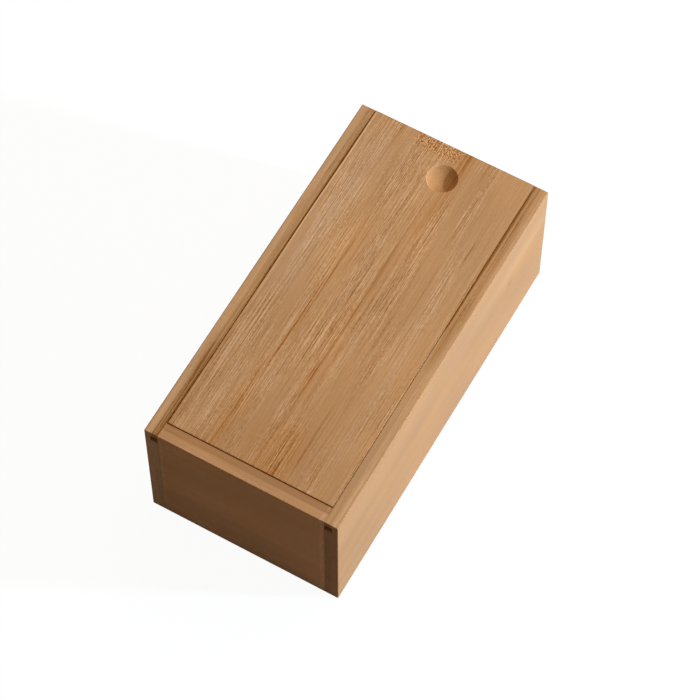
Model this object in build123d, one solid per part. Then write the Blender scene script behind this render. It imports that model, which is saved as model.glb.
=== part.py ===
from build123d import *
import os

# Brush box with a sliding lid, in millimetres.  Four bamboo boards and a bottom
# panel are glued into a tray; the lid runs in grooves and draws out at the open end.
# Origin in the middle of the underside: +X right, +Y towards the open end, +Z up.

# Outside of the closed box
box_width = 100.0
box_length = 200.0
box_height = 75.0

# Boards, butt-jointed with the two end boards between the side boards
side_thickness = 7.0
end_thickness = 8.0
outer_easing = 0.5  # sanded radius along the outer edges

# Groove for the lid, in both side boards and the front board
lip_height = 2.4  # wood left above the groove
groove_height = 4.3
groove_depth = 4.0

# Lid, a plate with a rabbet milled along three of its upper edges
slide_clearance = 0.3  # above and below the tongue
tip_clearance = 0.4  # between the tongue's tip and the groove's bottom
side_gap = 0.28  # beside the raised field, on each side
front_gap = 0.45  # between the raised field and the front board
lid_easing = 0.25  # broken edges of the field and the tongue

# Finger scoop, a shallow ball-nose cut in the lid
scoop_diameter = 15.4
scoop_depth = 2.8
scoop_inset = 18.0  # its centre from the lid's open end
scoop_offset = 2.9  # its centre from the lid's middle line

# Bottom panel, captured in a groove of its own round all four boards
panel_thickness = 4.0
panel_height = 3.0  # its underside above the boards' lower edges
panel_groove_depth = 3.0
panel_clearance = 0.2  # above the panel and beyond its edges

# Planes that the pieces share
side_x = box_width / 2
end_y = box_length / 2
inner_x = side_x - side_thickness
inner_y = end_y - end_thickness
groove_top = box_height - lip_height
groove_floor = groove_top - groove_height
panel_groove_top = panel_height + panel_thickness + panel_clearance


def block(x_limits, y_limits, z_limits):
    """Return a squared block between the low and high limit on each axis."""
    limits = (x_limits, y_limits, z_limits)
    low_corner = [low for low, high in limits]
    lengths = [high - low for low, high in limits]
    return Pos(*low_corner) * Box(*lengths, align=(Align.MIN, Align.MIN, Align.MIN))


def make_right_side():
    """Return the right side board: full length, lid groove open at both ends."""
    board = block((inner_x, side_x), (-end_y, end_y), (0, box_height))
    outer_face = board.faces().sort_by(Axis.X)[-1]
    end_edges = board.edges().filter_by(Axis.X)
    board = fillet(outer_face.edges() + end_edges, outer_easing)
    lid_groove = block(
        (inner_x, inner_x + groove_depth), (-end_y, end_y), (groove_floor, groove_top)
    )
    # The panel's groove stops inside the corners, so neither end shows it
    groove_reach = inner_y + panel_groove_depth
    panel_groove = block(
        (inner_x, inner_x + panel_groove_depth),
        (-groove_reach, groove_reach),
        (panel_height, panel_groove_top),
    )
    return board - lid_groove - panel_groove


def make_end_board(top):
    """Return an end board at the open end, as high as top, grooved for the panel."""
    board = block((-inner_x, inner_x), (inner_y, end_y), (0, top))
    outer_face = board.faces().sort_by(Axis.Y)[-1]
    board = fillet(outer_face.edges().filter_by(Axis.X), outer_easing)
    panel_groove = block(
        (-inner_x, inner_x),
        (inner_y, inner_y + panel_groove_depth),
        (panel_height, panel_groove_top),
    )
    return board - panel_groove


def make_rear_board():
    """Return the lower board at the open end, which the lid slides over."""
    return make_end_board(groove_floor)


def make_front_board():
    """Return the full-height board at the closed end, grooved for the lid's front."""
    board = make_end_board(box_height)
    lid_groove = block(
        (-inner_x, inner_x), (inner_y, inner_y + groove_depth), (groove_floor, groove_top)
    )
    return mirror(board - lid_groove, about=Plane.XZ)


def make_bottom_panel():
    """Return the loose-fitted bottom panel, resting on its groove's lower face."""
    reach = panel_groove_depth - panel_clearance
    half_width = inner_x + reach
    half_length = inner_y + reach
    return block(
        (-half_width, half_width),
        (-half_length, half_length),
        (panel_height, panel_height + panel_thickness),
    )


def make_scoop():
    """Return the ball whose lower cap is the finger scoop."""
    rim_radius = scoop_diameter / 2
    ball_radius = (rim_radius**2 + scoop_depth**2) / (2 * scoop_depth)
    ball_height = box_height - scoop_depth + ball_radius
    return Pos(scoop_offset, end_y - scoop_inset, ball_height) * Sphere(ball_radius)


def make_lid():
    """Return the lid: a tongue on three edges round a field flush with the box's top."""
    underside = groove_floor + slide_clearance
    tongue_top = groove_top - slide_clearance
    tongue_x = inner_x + groove_depth - tip_clearance
    tongue_front = -(inner_y + groove_depth - tip_clearance)
    field_x = inner_x - side_gap
    field_front = -(inner_y - front_gap)
    lid = block((-tongue_x, tongue_x), (tongue_front, end_y), (underside, tongue_top))
    lid = fillet(lid.edges().group_by(Axis.Z)[-1].filter_by(Axis.Y), lid_easing)
    lid += block((-field_x, field_x), (field_front, end_y), (underside, box_height))
    lid = fillet(lid.faces().sort_by(Axis.Z)[-1].edges(), lid_easing)
    return lid - make_scoop()


right_side = make_right_side()
pieces = {
    "right_side": right_side,
    "left_side": mirror(right_side, about=Plane.YZ),
    "front_board": make_front_board(),
    "rear_board": make_rear_board(),
    "bottom_panel": make_bottom_panel(),
    "lid": make_lid(),
}

os.makedirs("parts", exist_ok=True)
for name, piece in pieces.items():
    export_step(piece, f"parts/{name}.step")
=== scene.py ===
import math

import bpy
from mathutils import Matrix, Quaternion, Vector


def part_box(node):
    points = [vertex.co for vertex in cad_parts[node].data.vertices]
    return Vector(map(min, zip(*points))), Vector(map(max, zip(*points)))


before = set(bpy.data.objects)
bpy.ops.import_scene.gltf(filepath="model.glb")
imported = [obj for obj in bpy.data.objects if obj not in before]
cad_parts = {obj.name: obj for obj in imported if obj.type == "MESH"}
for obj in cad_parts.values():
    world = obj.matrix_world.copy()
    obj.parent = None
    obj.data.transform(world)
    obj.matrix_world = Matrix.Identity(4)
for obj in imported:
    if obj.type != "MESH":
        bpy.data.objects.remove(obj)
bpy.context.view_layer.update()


# ---- Side boards -----------------------------------------------------------------
# Two long boards of plain-pressed bamboo: flat strips of cane glued edge to edge in
# two plies.  Each is grooved for the lid and the bottom and glued over the ends of
# the end boards, so its top edge, its end grain and its outer face all show.

MM = 0.001  # metres
FAR_BELOW = 1000.0  # mm, deeper than any board


def linear(hex_colour):
    """Return an sRGB hex colour as linear RGBA."""
    channels = [int(hex_colour[i : i + 2], 16) / 255 for i in (1, 3, 5)]
    bent = [c / 12.92 if c <= 0.04045 else ((c + 0.055) / 1.055) ** 2.4 for c in channels]
    return (*bent, 1.0)


def cleared(owner):
    """Return the node tree of a material or world, emptied."""
    owner.use_nodes = True
    owner.node_tree.nodes.clear()
    return owner.node_tree


def add(tree, kind, settings, inputs):
    """Add a node, set its attributes, link or fill its inputs, and return its outputs."""
    node = tree.nodes.new("ShaderNode" + kind)
    for name, value in settings.items():
        setattr(node, name, value)
    for name, value in inputs.items():
        if isinstance(value, bpy.types.NodeSocket):
            tree.links.new(value, node.inputs[name])
        else:
            node.inputs[name].default_value = value
    return node.outputs


def layered(tree, start, *layers):
    """Return start with each layer's pattern added at that layer's strength."""
    for pattern, strength in layers:
        start = add(tree, "Math", {"operation": "MULTIPLY_ADD"},
                    {0: pattern, 1: strength, 2: start})[0]
    return start


def window(tree, value, start, end, fade):
    """Return 1 between start and end and 0 outside them, with soft ends."""
    rise = add(tree, "MapRange", {"interpolation_type": "SMOOTHSTEP"},
               {"Value": value, "From Min": start - fade, "From Max": start + fade})[0]
    return add(tree, "MapRange", {"interpolation_type": "SMOOTHSTEP"},
               {"Value": value, "From Min": end - fade, "From Max": end + fade,
                "To Min": rise, "To Max": 0.0})[0]


def noise(tree, place, width, length):
    """Return noise about 0 with grains of a width across and a length along, in mm."""
    scale = (1 / width, 1 / length, 1 / width)
    stretched = add(tree, "VectorMath", {"operation": "MULTIPLY"}, {0: place, 1: scale})[0]
    level = add(tree, "TexNoise", {}, {"Vector": stretched, "Scale": 1.0, "Detail": 0.0})[0]
    return add(tree, "Math", {"operation": "SUBTRACT"}, {0: level, 1: 0.5})[0]


def cane_strips(tree, place, across, depth, joint_depth, strip, first_joint, batch):
    """Return each strip's own level, from 0 to 1, and the place where its grain is read.

    Every strip of both plies is cut from another cane.  The lower ply's joints lie 0.4 of
    a strip away from the upper's, so that none runs through the board.
    """
    ply = add(tree, "Math", {"operation": "GREATER_THAN"}, {0: depth, 1: joint_depth})[0]
    row = add(tree, "Math", {"operation": "SUBTRACT"}, {0: across, 1: first_joint})[0]
    row = add(tree, "Math", {"operation": "DIVIDE"}, {0: row, 1: strip})[0]
    row = layered(tree, row, (ply, 0.4))
    row = add(tree, "Math", {"operation": "FLOOR"}, {0: row})[0]
    key = add(tree, "CombineXYZ", {}, {"X": row, "Y": ply, "Z": float(batch)})[0]
    cane = add(tree, "TexWhiteNoise", {"noise_dimensions": "3D"}, {"Vector": key})
    apart = (300.0, 300.0, 300.0)
    cane_place = add(tree, "VectorMath", {"operation": "MULTIPLY_ADD"},
                     {0: cane["Color"], 1: apart, 2: place})[0]
    return cane["Value"], cane_place


def with_streaks_and_painted_light(tree, axis, axes, place, board_top, end_face, marks, tone, warmth):
    """Return tone and warmth with the streaks, stains and painted light of this one board.

    A mark is the axis it is placed on, its middle there, its start and end along the grain
    and its half width, all in mm, and then what it adds to tone and to warmth.  Marks are
    mostly stains in the surface, so that little of them shows on a cut end; some are painted
    shade along the gaps and in the finger scoop, and painted light along the lid's edges.
    Those placed by their depth into the board lie along its upper edge alone.
    """
    across, along, through = axes
    drift = noise(tree, place, width=7.0, length=60.0)
    upper_edge = window(tree, axis[across], board_top - 3.0, board_top + 3.0, 0.5)
    marked = 0.0
    for mark_axis, middle, start, end, half_width, mark_tone, mark_warmth in marks:
        wander = layered(tree, axis[mark_axis], (drift, min(2.5, 2 * half_width)))
        fade = 0.5 * half_width
        band = window(tree, wander, middle - fade, middle + fade, fade)
        reach = window(tree, axis[along], start, end, min(10.0, (end - start) / 3))
        mark = add(tree, "Math", {"operation": "MULTIPLY"}, {0: band, 1: reach})[0]
        if mark_axis == through:
            mark = add(tree, "Math", {"operation": "MULTIPLY"}, {0: mark, 1: upper_edge})[0]
        marked = layered(tree, marked, (mark, mark_tone))
        warmth = layered(tree, warmth, (mark, mark_warmth))
    on_end = add(tree, "Math", {"operation": "MULTIPLY"}, {0: marked, 1: end_face})[0]
    marked = layered(tree, marked, (on_end, -0.7))
    strands = noise(tree, place, width=0.7, length=70.0)
    stranded = layered(tree, 1.0, (strands, 4.0))
    return layered(tree, tone, (marked, stranded)), warmth


def knuckled(tree, axis, along, place, knuckles, tone, warmth):
    """Return tone and warmth with leaning lines of cut fibre ends, each across one strip.

    A knuckle is the axis across its strip, the strip's two edges on that axis, the line's
    place along the grain where the axis is 0, its lean, its half width and its strength.
    """
    specks = noise(tree, place, width=0.45, length=1.0)
    for strip_axis, low, high, middle, lean, half_width, strength in knuckles:
        centre = layered(tree, -middle, (axis[strip_axis], -lean))
        offset = add(tree, "Math", {"operation": "ADD"}, {0: axis[along], 1: centre})[0]
        band = window(tree, offset, -half_width, half_width, 0.6 * half_width)
        strip_only = window(tree, axis[strip_axis], low, high, 1.0)
        knuckle = add(tree, "Math", {"operation": "MULTIPLY"}, {0: band, 1: strip_only})[0]
        speckle = add(tree, "Math", {"operation": "MULTIPLY"}, {0: specks, 1: knuckle})[0]
        tone = layered(tree, tone, (speckle, 3.0 * strength), (knuckle, -0.05 * strength))
        warmth = layered(tree, warmth, (knuckle, 0.6 * strength))
    return tone, warmth


def bamboo_colour(tree, tone, warmth, colours):
    """Return the colour for a tone and a warmth, which tints from cool to warm.

    Tone 0 is the deepest dark and painted gap shade, 0.15 the darkest streak, 0.5 the board's
    body and 1 the palest fibre, in the order of colours.
    """
    deepest_dark_and_gap_shade, dark, body, pale = colours
    ramp_out = add(tree, "ValToRGB", {}, {"Fac": tone})[0]
    ramp = ramp_out.node.color_ramp
    ramp.elements[0].color = linear(deepest_dark_and_gap_shade)
    ramp.elements[1].color = linear(pale)
    ramp.elements.new(0.15).color = linear(dark)
    ramp.elements.new(0.5).color = linear(body)
    tint = add(tree, "MixRGB", {}, {"Fac": warmth, "Color1": linear("#fdfeff"),
                                    "Color2": linear("#fff3dc")})[0]
    return add(tree, "MixRGB", {"blend_type": "MULTIPLY"},
               {"Fac": 1.0, "Color1": ramp_out, "Color2": tint})[0]


def with_cut_ends(tree, place, colour, end_face, end_grain):
    """Return colour with the cut ends tinted, where fibre bundles show as dots.

    The closest bundles are too fine to show, so all are drawn 0.9 mm apart.
    """
    bundle_spacing = 0.9
    flat_place = add(tree, "VectorMath", {"operation": "MULTIPLY"},
                     {0: place, 1: (1.0, 0.0, 1.0)})[0]
    bundle = add(tree, "TexVoronoi", {}, {"Vector": flat_place, "Scale": 1 / bundle_spacing})[0]
    dots = add(tree, "MapRange", {}, {"Value": bundle, "From Min": 0.15, "From Max": 0.4,
                                      "To Min": 0.86, "To Max": 1.04})[0]
    dotted = add(tree, "MixRGB", {"blend_type": "MULTIPLY"},
                 {"Fac": 1.0, "Color1": linear(end_grain), "Color2": dots})[0]
    return add(tree, "MixRGB", {"blend_type": "MULTIPLY"},
               {"Fac": end_face, "Color1": colour, "Color2": dotted})[0]


def bamboo(name, axes, outward, face_tone, layers, strip, first_joint, batch, colours, end_grain,
           fibre, ribbon, rim, edge_and_gap_shade_tone, marks=(), knuckles=()):
    """Make plain-pressed bamboo, sanded fine and sealed matt, as a solid texture in mm.

    To the eye that is straight fibre lines in flat strips, hardly any gloss, and darker edges,
    with painted shade along them where they meet a gap.

    axes: the directions across the strips, along the grain and into the board
    outward: 1.0 if the show face is the rim's high side on the last of them, -1.0 if its low
    face_tone, layers: the show face's tone, then the depth where each lower layer starts
        and its tone, the last starting at the glue joint between the plies
    strip, first_joint: the strips' width, and where one of their joints lies
    batch: a whole number that picks the canes
    colours: the deepest dark and painted gap shade, the darkest streak, the body and the palest fibre
    end_grain: the tint of cut ends
    fibre: how far the grain shows on the show face, and below it
    ribbon: how far the broad ribbons show
    rim, edge_and_gap_shade_tone: the low and high corner of what has darkened edges, and their tone
    marks, knuckles: as with_streaks_and_painted_light and knuckled take them
    """
    material = bpy.data.materials.new(name)
    tree = cleared(material)
    across, along, through = axes

    # Place in the board, in millimetres: across, along and down from the show face
    at = add(tree, "TexCoord", {}, {})
    in_mm = add(tree, "VectorMath", {"operation": "SCALE"}, {0: at["Object"], "Scale": 1 / MM})[0]
    axis = add(tree, "SeparateXYZ", {}, {0: in_mm})
    show_face = rim[outward > 0]["XYZ".index(through)]
    depth = add(tree, "Math", {"operation": "MULTIPLY_ADD"},
                {0: axis[through], 1: -outward, 2: outward * show_face})[0]
    place = add(tree, "CombineXYZ", {}, {"X": axis[across], "Y": axis[along], "Z": depth})[0]
    facing = add(tree, "SeparateXYZ", {}, {0: at["Normal"]})[along]
    facing = add(tree, "Math", {"operation": "ABSOLUTE"}, {0: facing})[0]
    end_face = add(tree, "MapRange", {}, {"Value": facing, "From Min": 0.7, "From Max": 0.95})[0]

    joint_depth = layers[-1][0]
    cane_level, cane_place = cane_strips(tree, place, axis[across], depth, joint_depth, strip,
                                         first_joint, batch)

    # Fibre bundles show as lines, flecks and pores, over reeds and broader ribbons.  A bundle
    # is 0.2 mm across, too fine to show, so the first three are drawn about twice as wide.
    pores = noise(tree, cane_place, width=0.35, length=1.8)
    flecks = noise(tree, cane_place, width=0.4, length=10.0)
    lines = noise(tree, cane_place, width=0.42, length=40.0)
    reeds = noise(tree, cane_place, width=1.3, length=60.0)
    ribbons = noise(tree, cane_place, width=3.2, length=110.0)
    clouds = noise(tree, place, width=25.0, length=50.0)
    grain = layered(tree, lines, (flecks, 0.6), (pores, 0.65), (reeds, 0.1))

    # The grain is strong and faint by patches
    patches = noise(tree, cane_place, width=8.0, length=45.0)
    patches = layered(tree, patches, (cane_level, 0.3))
    fibre_here = add(tree, "MapRange", {}, {"Value": depth, "From Min": 0.1, "From Max": 0.5,
                                            "To Min": fibre[0], "To Max": fibre[1]})[0]
    patchy = add(tree, "MapRange", {}, {"Value": patches, "From Min": -0.05, "From Max": 0.35,
                                        "To Min": 0.22, "To Max": 1.0})[0]
    patchy = add(tree, "Math", {"operation": "MULTIPLY"}, {0: patchy, 1: fibre_here})[0]
    ribbon_warmth = add(tree, "Math", {"operation": "MULTIPLY"}, {0: fibre_here, 1: 0.55})[0]
    tone = layered(tree, 0.45, (cane_level, 0.1), (grain, patchy), (ribbons, ribbon), (clouds, 0.3))
    warmth = layered(tree, 0.5, (ribbons, ribbon_warmth), (clouds, 1.0))

    # Cut edges and milled steps show each lower layer in its own tone
    tone = add(tree, "Math", {"operation": "ADD"}, {0: tone, 1: face_tone})[0]
    tone_above = face_tone
    for layer_depth, layer_tone in layers:
        below = window(tree, depth, layer_depth, FAR_BELOW, 0.5)
        tone = layered(tree, tone, (below, layer_tone - tone_above))
        tone_above = layer_tone

    # Edges, which lie near two faces at once, are darker: painted shade where they meet a gap,
    # and a dark line along the others
    dark_edge_width = 0.4
    sides_away = 0.0
    for letter, low, high in zip("XYZ", *rim):
        away = window(tree, axis[letter], low + dark_edge_width, high - dark_edge_width, dark_edge_width)
        sides_away = layered(tree, sides_away, (away, 1.0))
    edge = add(tree, "MapRange", {}, {"Value": sides_away, "From Min": 2.0, "From Max": 1.0})[0]
    tone = layered(tree, tone, (edge, edge_and_gap_shade_tone))

    if marks:
        board_top = rim[1]["XYZ".index(across)]
        tone, warmth = with_streaks_and_painted_light(tree, axis, axes, place, board_top, end_face, marks, tone, warmth)
    if knuckles:
        tone, warmth = knuckled(tree, axis, along, place, knuckles, tone, warmth)
    colour = bamboo_colour(tree, tone, warmth, colours)
    colour = with_cut_ends(tree, place, colour, end_face, end_grain)

    # Sanding leaves the hard bundles a little proud of the soft pith, and the thin matt
    # seal over both is rough and has little gloss
    relief = add(tree, "Math", {"operation": "MULTIPLY"}, {0: grain, 1: patchy})[0]
    bump = add(tree, "Bump", {}, {"Strength": 1.0, "Distance": 0.05 * MM, "Height": relief})[0]
    rough = layered(tree, 0.66, (grain, 0.3))
    surface = add(tree, "BsdfPrincipled", {},
                  {"Base Color": colour, "Roughness": rough, "Specular IOR Level": 0.12,
                   "Normal": bump})[0]
    add(tree, "OutputMaterial", {}, {"Surface": surface})
    return material


def dress(node, material):
    """Give a CAD node its finish."""
    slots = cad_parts[node].data.materials
    slots.clear()
    slots.append(material)


def corners(node):
    """Return a node's lowest and highest corner in mm, to a thousandth."""
    return [[round(value / MM, 3) for value in corner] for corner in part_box(node)]


# The outer 0.3 mm is sanded skin, and the glue joint lies at 3.7 mm
side_face_tone = -0.02
side_layers = ((0.3, 0.03), (3.7, -0.12))
side_strip = 25.0
side_joint = 0.0
# The first colour is also that of the painted shade at the gaps
side_colours = ("#9c6a34", "#b5885d", "#d0a478", "#f0c69c")
right_marks = (
    ("X", 45.2, -8.0, 110.0, 2.2, -0.22, 0.7),
    ("X", 46.7, 20.0, 110.0, 0.8, -0.18, 0.3),
    # Painted shade: dark warm brown along the lip's inner edge at the gap, on its far part
    ("X", 43.2, 15.0, 120.0, 0.7, -0.7, 0.8),
    ("X", 48.0, 15.0, 120.0, 1.8, -0.1, 0.6),
    ("X", 47.6, -120.0, -50.0, 2.2, 0.13, 0.3),
    ("X", 44.6, -101.0, -99.8, 2.0, -0.6, 1.2),
    ("Z", 44.0, 62.0, 67.0, 5.0, -0.12, 0.0),
    ("Z", 56.0, 20.0, 120.0, 8.0, 0.0, -0.3),
)
left_marks = (
    ("X", -44.3, -110.0, -50.0, 2.2, -0.55, 0.5),
    ("X", -44.8, -60.0, 110.0, 2.1, -0.13, 0.4),
    # Painted shade: dark warm brown along the lip's inner edge at the gap
    ("X", -43.2, -120.0, 120.0, 0.6, -0.3, 1.5),
    ("X", -48.3, -120.0, 120.0, 1.5, 0.12, 0.2),
)
for node, outward, batch, end_grain, marks in (
        ("right_side", 1.0, 3, "#cdb9a0", right_marks),
        ("left_side", -1.0, 4, "#f4f3f4", left_marks)):
    dress(node, bamboo(
        f"plain_pressed_bamboo_{node}", axes="ZYX", outward=outward, face_tone=side_face_tone,
        layers=side_layers, strip=side_strip, first_joint=side_joint, batch=batch,
        colours=side_colours, end_grain=end_grain, fibre=(0.2, 0.6), ribbon=0.1,
        rim=corners(node), edge_and_gap_shade_tone=-0.1, marks=marks))


# ---- End boards ------------------------------------------------------------------
# The full-height board at the closed end and the lower one at the open end, of the
# same strips as the sides, glued between them with their grain across the box.

end_face_tone = 0.02
end_layers = ((4.4, -0.27),)
end_colours = ("#9c6630", "#b58355", "#d29c6b", "#f0c092")
pale_end_grain = "#e4e2e0"
end_marks = (
    ("Z", 75.0, -60.0, 60.0, 1.5, -0.02, -0.45),
    ("X", -24.0, -60.0, 0.0, 18.0, 0.04, 0.0),
    ("X", 41.4, 20.0, 60.0, 1.2, 0.15, -0.3),
    ("X", -42.3, -60.0, -20.0, 0.8, 0.12, -0.2),
)
# Their grain shows less than the sides'
for node, outward, batch in (("front_board", -1.0, 7), ("rear_board", 1.0, 8)):
    dress(node, bamboo(
        f"plain_pressed_bamboo_{node}", axes="ZXY", outward=outward, face_tone=end_face_tone,
        layers=end_layers, strip=side_strip, first_joint=side_joint, batch=batch,
        colours=end_colours, end_grain=pale_end_grain, fibre=(0.15, 0.3), ribbon=0.12,
        rim=corners(node), edge_and_gap_shade_tone=-0.1, marks=end_marks))


# ---- Bottom panel ----------------------------------------------------------------
# A thin board of the same bamboo, let into grooves round the four walls, which cover
# its edges.  It has broader ribbons than the walls and no darkened edge.

bottom_layers = ((2.0, -0.05),)
bottom_strip = 22.0
bottom_joint = 3.0
dress("bottom_panel", bamboo(
    "plain_pressed_bamboo_bottom", axes="XYZ", outward=1.0, face_tone=0.0,
    layers=bottom_layers, strip=bottom_strip, first_joint=bottom_joint, batch=11,
    colours=side_colours, end_grain=pale_end_grain, fibre=(0.4, 0.4), ribbon=0.3,
    rim=corners("bottom_panel"), edge_and_gap_shade_tone=0.0))


# ---- Lid -------------------------------------------------------------------------
# One bamboo board, milled down to a tongue on three edges, with a finger scoop cut
# near the open end.  Its show face is the dense outer side of the cane, so its fibres
# show more than the walls'.

# The raised field between the gaps has the darkened edges, painted shade along the gaps
side_gap = 0.28
front_gap = 0.45
lid_low, lid_high = corners("lid")
inner_x = corners("right_side")[0][0]
inner_y = corners("front_board")[1][1]
lid_field = ((side_gap - inner_x, inner_y + front_gap, lid_low[2]),
             (inner_x - side_gap, lid_high[1], lid_high[2]))
lid_layers = ((0.5, -0.17), (3.2, -0.25))
lid_strip = 19.0
lid_joint = -17.0
# The first colour is also that of the painted shade at the gaps
lid_colours = ("#9e632a", "#b78351", "#d0a070", "#f2c69c")
lid_marks = (
    ("X", 1.6, -98.0, -30.0, 2.2, -0.11, 0.4),
    ("X", 2.6, -45.0, 40.0, 2.0, -0.13, 0.4),
    ("X", 1.2, -92.0, -66.0, 0.7, -0.08, 0.2),
    ("X", 2.4, -66.0, 34.0, 0.7, -0.12, 0.2),
    ("X", -18.6, -50.0, -22.0, 0.7, -0.28, 0.2),
    ("X", -17.6, -34.0, 8.0, 0.7, -0.28, 0.2),
    ("X", -16.3, -22.0, 38.0, 0.7, -0.28, 0.2),
    ("X", -17.6, -40.0, 40.0, 3.0, -0.06, 0.3),
    ("X", -21.0, -98.0, -35.0, 3.0, -0.08, 0.4),
    ("X", -6.6, -56.0, -16.0, 0.7, -0.2, 0.1),
    ("X", -3.4, -50.0, 12.0, 0.8, -0.25, 0.1),
    ("X", -13.0, 18.0, 46.0, 0.7, -0.25, 0.3),
    ("X", 18.5, -82.0, -50.0, 0.8, -0.3, 0.1),
    ("X", 23.5, -68.0, -18.0, 0.8, -0.25, 0.1),
    ("X", 25.0, -20.0, 40.0, 0.8, -0.12, 0.0),
    ("X", -36.5, -67.0, -57.0, 0.7, -0.4, 0.0),
    ("X", -25.0, 4.0, 22.0, 0.7, -0.3, 0.0),
    ("X", 33.0, 46.0, 58.0, 0.7, -0.3, 0.0),
    # A real streak, drawn on across the right side of the finger scoop as painted shade
    ("X", 6.8, 50.0, 110.0, 3.0, -0.05, 0.5),
    ("X", 9.0, -98.0, -68.0, 14.0, -0.03, 0.8),
    ("X", -18.0, -98.0, -60.0, 10.0, -0.05, 0.4),
    ("X", 7.5, 87.0, 110.0, 4.0, -0.05, 0.8),
    ("X", -34.0, -5.0, 90.0, 10.0, 0.06, -0.5),
    ("X", 32.0, -70.0, 65.0, 10.0, 0.02, -0.3),
    ("X", -38.5, -110.0, -15.0, 4.0, 0.09, 0.0),
    ("X", -24.5, 75.0, 110.0, 4.0, 0.12, 0.0),
    ("X", -5.0, -110.0, -68.0, 7.0, -0.06, 0.3),
    ("X", 10.0, 55.0, 110.0, 5.0, -0.14, 0.1),
    ("X", 1.0, 84.0, 110.0, 6.0, -0.08, -0.1),
    # Painted highlight: a pale line along the lid's left edge
    ("X", -41.8, -20.0, 120.0, 0.6, 0.4, -0.2),
    # Painted shade: dark warm brown along the lid's left edge at the gap
    ("X", -42.6, -110.0, 120.0, 0.5, -0.2, 1.5),
    # Painted light: paler along the near half of the lid's right edge, over the gap's shade
    ("X", 42.8, -100.0, -15.0, 0.7, 0.25, 0.0),
    # Painted shade: dark warm brown along the far part of the lid's right edge at the gap
    ("X", 42.8, 10.0, 110.0, 0.5, -0.4, 0.6),
)
lid_knuckles = (
    ("X", -19.0, 5.0, 96.8, -0.05, 4.6, 0.9),
)
dress("lid", bamboo(
    "plain_pressed_bamboo_lid", axes="XYZ", outward=1.0, face_tone=0.0,
    layers=lid_layers, strip=lid_strip, first_joint=lid_joint, batch=6602,
    colours=lid_colours, end_grain=pale_end_grain, fibre=(1.12, 0.35), ribbon=0.06,
    rim=lid_field, edge_and_gap_shade_tone=-0.3, marks=lid_marks, knuckles=lid_knuckles))


# ---- Studio ----------------------------------------------------------------------
# A white paper sweep, a small lamp low on the right and a broad weak one high up
# beyond the open end.

def aim(item, place, target):
    """Put a lamp or camera at place and point it at target."""
    item.rotation_mode = "QUATERNION"
    item.location = place
    item.rotation_quaternion = (Vector(target) - Vector(place)).to_track_quat("-Z", "Y")


def from_angles(azimuth, elevation, distance):
    """Return a point by its angle from +X towards +Y, its height angle and its distance."""
    flat = distance * math.cos(elevation)
    return Vector((flat * math.cos(azimuth), flat * math.sin(azimuth), distance * math.sin(elevation)))


lit_point = (0, 0, 0.04)  # just above the middle of the box


def round_lamp(name, level, colour, azimuth, elevation, distance, size):
    """Add a lamp, its angles in degrees, that lights a white card facing it to a level."""
    lamp = bpy.data.lights.new(name, "AREA")
    lamp.shape = "DISK"
    lamp.size = size
    lamp.color = linear(colour)[:3]
    lamp.energy = level * math.pi**2 * distance**2
    item = bpy.data.objects.new(name, lamp)
    bpy.context.scene.collection.objects.link(item)
    aim(item, from_angles(math.radians(azimuth), math.radians(elevation), distance), lit_point)


cool_white = "#d8e7ff"
warm_white = "#fff0da"
round_lamp("key_soft_box", level=1.22, colour=cool_white, azimuth=20, elevation=25, distance=1.0,
           size=0.06)
round_lamp("back_soft_box", level=0.36, colour=warm_white, azimuth=80, elevation=60, distance=1.5,
           size=1.2)

floor_mesh = bpy.data.meshes.new("floor")
floor_half = 4.0
floor_mesh.from_pydata([(-floor_half, -floor_half, 0), (floor_half, -floor_half, 0),
                        (floor_half, floor_half, 0), (-floor_half, floor_half, 0)], [], [(0, 1, 2, 3)])
floor = bpy.data.objects.new("floor", floor_mesh)
bpy.context.scene.collection.objects.link(floor)

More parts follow.
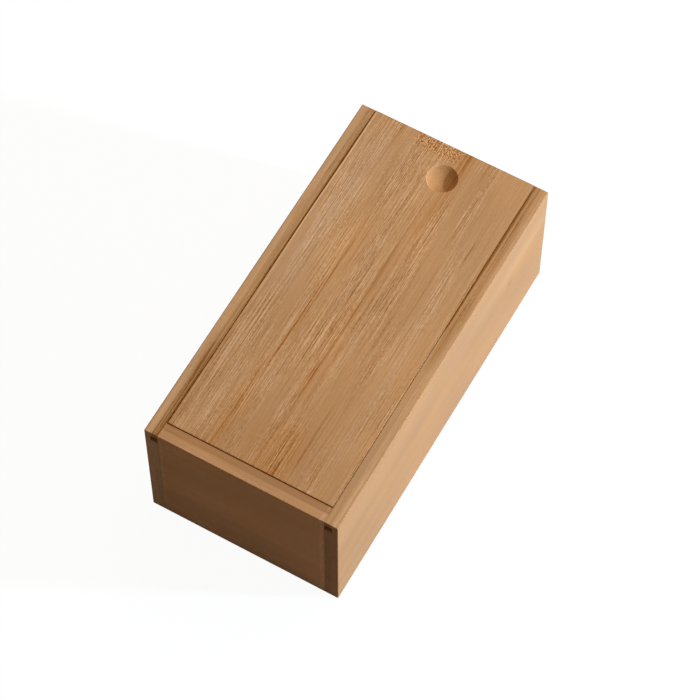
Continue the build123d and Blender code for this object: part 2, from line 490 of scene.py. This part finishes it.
# White paper glows white to the eye and in reflections, with the box's shadow on it, but
# throws only a dull card's light on the box
paper = bpy.data.materials.new("white_paper_sweep")
tree = cleared(paper)
paper_glow = 0.95
ray = add(tree, "LightPath", {}, {})
seen = add(tree, "Math", {"operation": "MAXIMUM"},
           {0: ray["Is Camera Ray"], 1: ray["Is Glossy Ray"]})[0]
seen = add(tree, "Math", {"operation": "MAXIMUM"}, {0: seen, 1: ray["Is Transmission Ray"]})[0]
shaded = add(tree, "BsdfDiffuse", {}, {"Color": linear("#525252")})[0]
glow = add(tree, "Emission", {}, {"Color": linear("#ffffff"), "Strength": paper_glow})[0]
white = add(tree, "AddShader", {}, {0: shaded, 1: glow})[0]
card = add(tree, "BsdfDiffuse", {}, {"Color": linear("#9c9080")})[0]
mix = add(tree, "MixShader", {}, {0: seen, 1: card, 2: white})[0]
add(tree, "OutputMaterial", {}, {"Surface": mix})
floor_mesh.materials.append(paper)

# The room is white to the eye, and lights the box weakly and warmly from all round
world = bpy.data.worlds.new("studio")
tree = cleared(world)
room_level = 0.135
ray = add(tree, "LightPath", {}, {})
seen = add(tree, "Math", {"operation": "MAXIMUM"},
           {0: ray["Is Camera Ray"], 1: ray["Is Transmission Ray"]})[0]
ambient = add(tree, "Background", {}, {"Color": linear(warm_white), "Strength": room_level})[0]
backdrop = add(tree, "Background", {}, {"Color": linear("#ffffff"), "Strength": 1.0})[0]
mix = add(tree, "MixShader", {}, {0: seen, 1: ambient, 2: backdrop})[0]
add(tree, "OutputWorld", {}, {"Surface": mix})
bpy.context.scene.world = world
bpy.context.scene.view_settings.view_transform = "Standard"


# ---- Camera ----------------------------------------------------------------------
# A long lens from high on the right of the closed end, aimed near the middle of the
# box and rolled by a hair.

camera_data = bpy.data.cameras.new("camera")
camera_data.sensor_width = 36.0
camera_data.lens = 156.1
camera = bpy.data.objects.new("camera", camera_data)
bpy.context.scene.collection.objects.link(camera)
aim_point = Vector((0.0004, -0.0012, 0.0375))
right_of_closed_end = 29.37  # degrees round from -Y towards +X
height_angle = 61.52
camera_distance = 1.4231
roll_angle = 0.13
camera_place = aim_point + from_angles(
    math.radians(right_of_closed_end - 90), math.radians(height_angle), camera_distance)
aim(camera, camera_place, aim_point)
roll = Quaternion((0, 0, 1), math.radians(roll_angle))
camera.rotation_quaternion = camera.rotation_quaternion @ roll
bpy.context.scene.camera = camera
